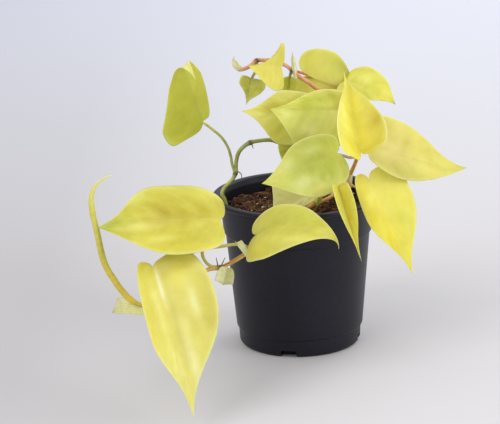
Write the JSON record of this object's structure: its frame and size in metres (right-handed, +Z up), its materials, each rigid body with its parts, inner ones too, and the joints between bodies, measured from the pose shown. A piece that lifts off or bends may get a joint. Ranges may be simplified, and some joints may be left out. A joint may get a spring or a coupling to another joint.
{
  "type": "potted golden heartleaf philodendron",
  "caption": "Trailing house plant with lemon-lime heart-shaped leaves on slim vines, rooted in coir in a dark plastic nursery pot.",
  "frame": {"origin": "centre of the pot's underside, on the surface that it stands on", "axes": "+Z up along the pot's axis, -Y towards the picture's viewer, +X to the picture's right"},
  "size_m": [0.2577, 0.2453, 0.2183],
  "materials": {
    "pot_plastic": "satin moulded polypropylene",
    "potting_soil": "loose coir and peat with white perlite grains",
    "leaf_lime": "smooth, slightly glossy lemon-lime leaf",
    "stem_green": "smooth green stem with dark nodes",
    "stem_red": "smooth orange-red stem",
    "stem_orange": "smooth orange-yellow stem",
    "sheath": "thin papery sheath, half see-through"
  },
  "bodies": {
    "root": {"pot": "pot_plastic", "potting_soil": "potting_soil", "vine_left": "stem_green", "vine_tall": "stem_red", "vine_trailing": "stem_orange", "leaf_left_1": "leaf_lime", "leaf_left_2": "leaf_lime", "leaf_left_3": "leaf_lime", "leaf_tall_1": "leaf_lime", "leaf_tall_2": "leaf_lime", "leaf_tall_3": "leaf_lime", "leaf_tall_4": "leaf_lime", "leaf_tall_5": "leaf_lime", "leaf_tall_6": "leaf_lime", "leaf_tall_7": "leaf_lime", "leaf_tall_8": "leaf_lime", "leaf_tall_9": "leaf_lime", "leaf_tall_10": "leaf_lime", "leaf_tall_11": "leaf_lime", "leaf_tall_12": "leaf_lime", "leaf_trailing_1": "leaf_lime", "leaf_trailing_2": "leaf_lime", "leaf_trailing_3": "leaf_lime", "leaf_trailing_furled": "leaf_lime", "sheath_trailing_1": "sheath", "sheath_trailing_2": "sheath", "sheath_trailing_3": "sheath", "sheath_trailing_4": "sheath", "sheath_tall_1": "sheath", "sheath_tall_2": "sheath", "sheath_tall_3": "sheath"}
  },
  "joints": []
}
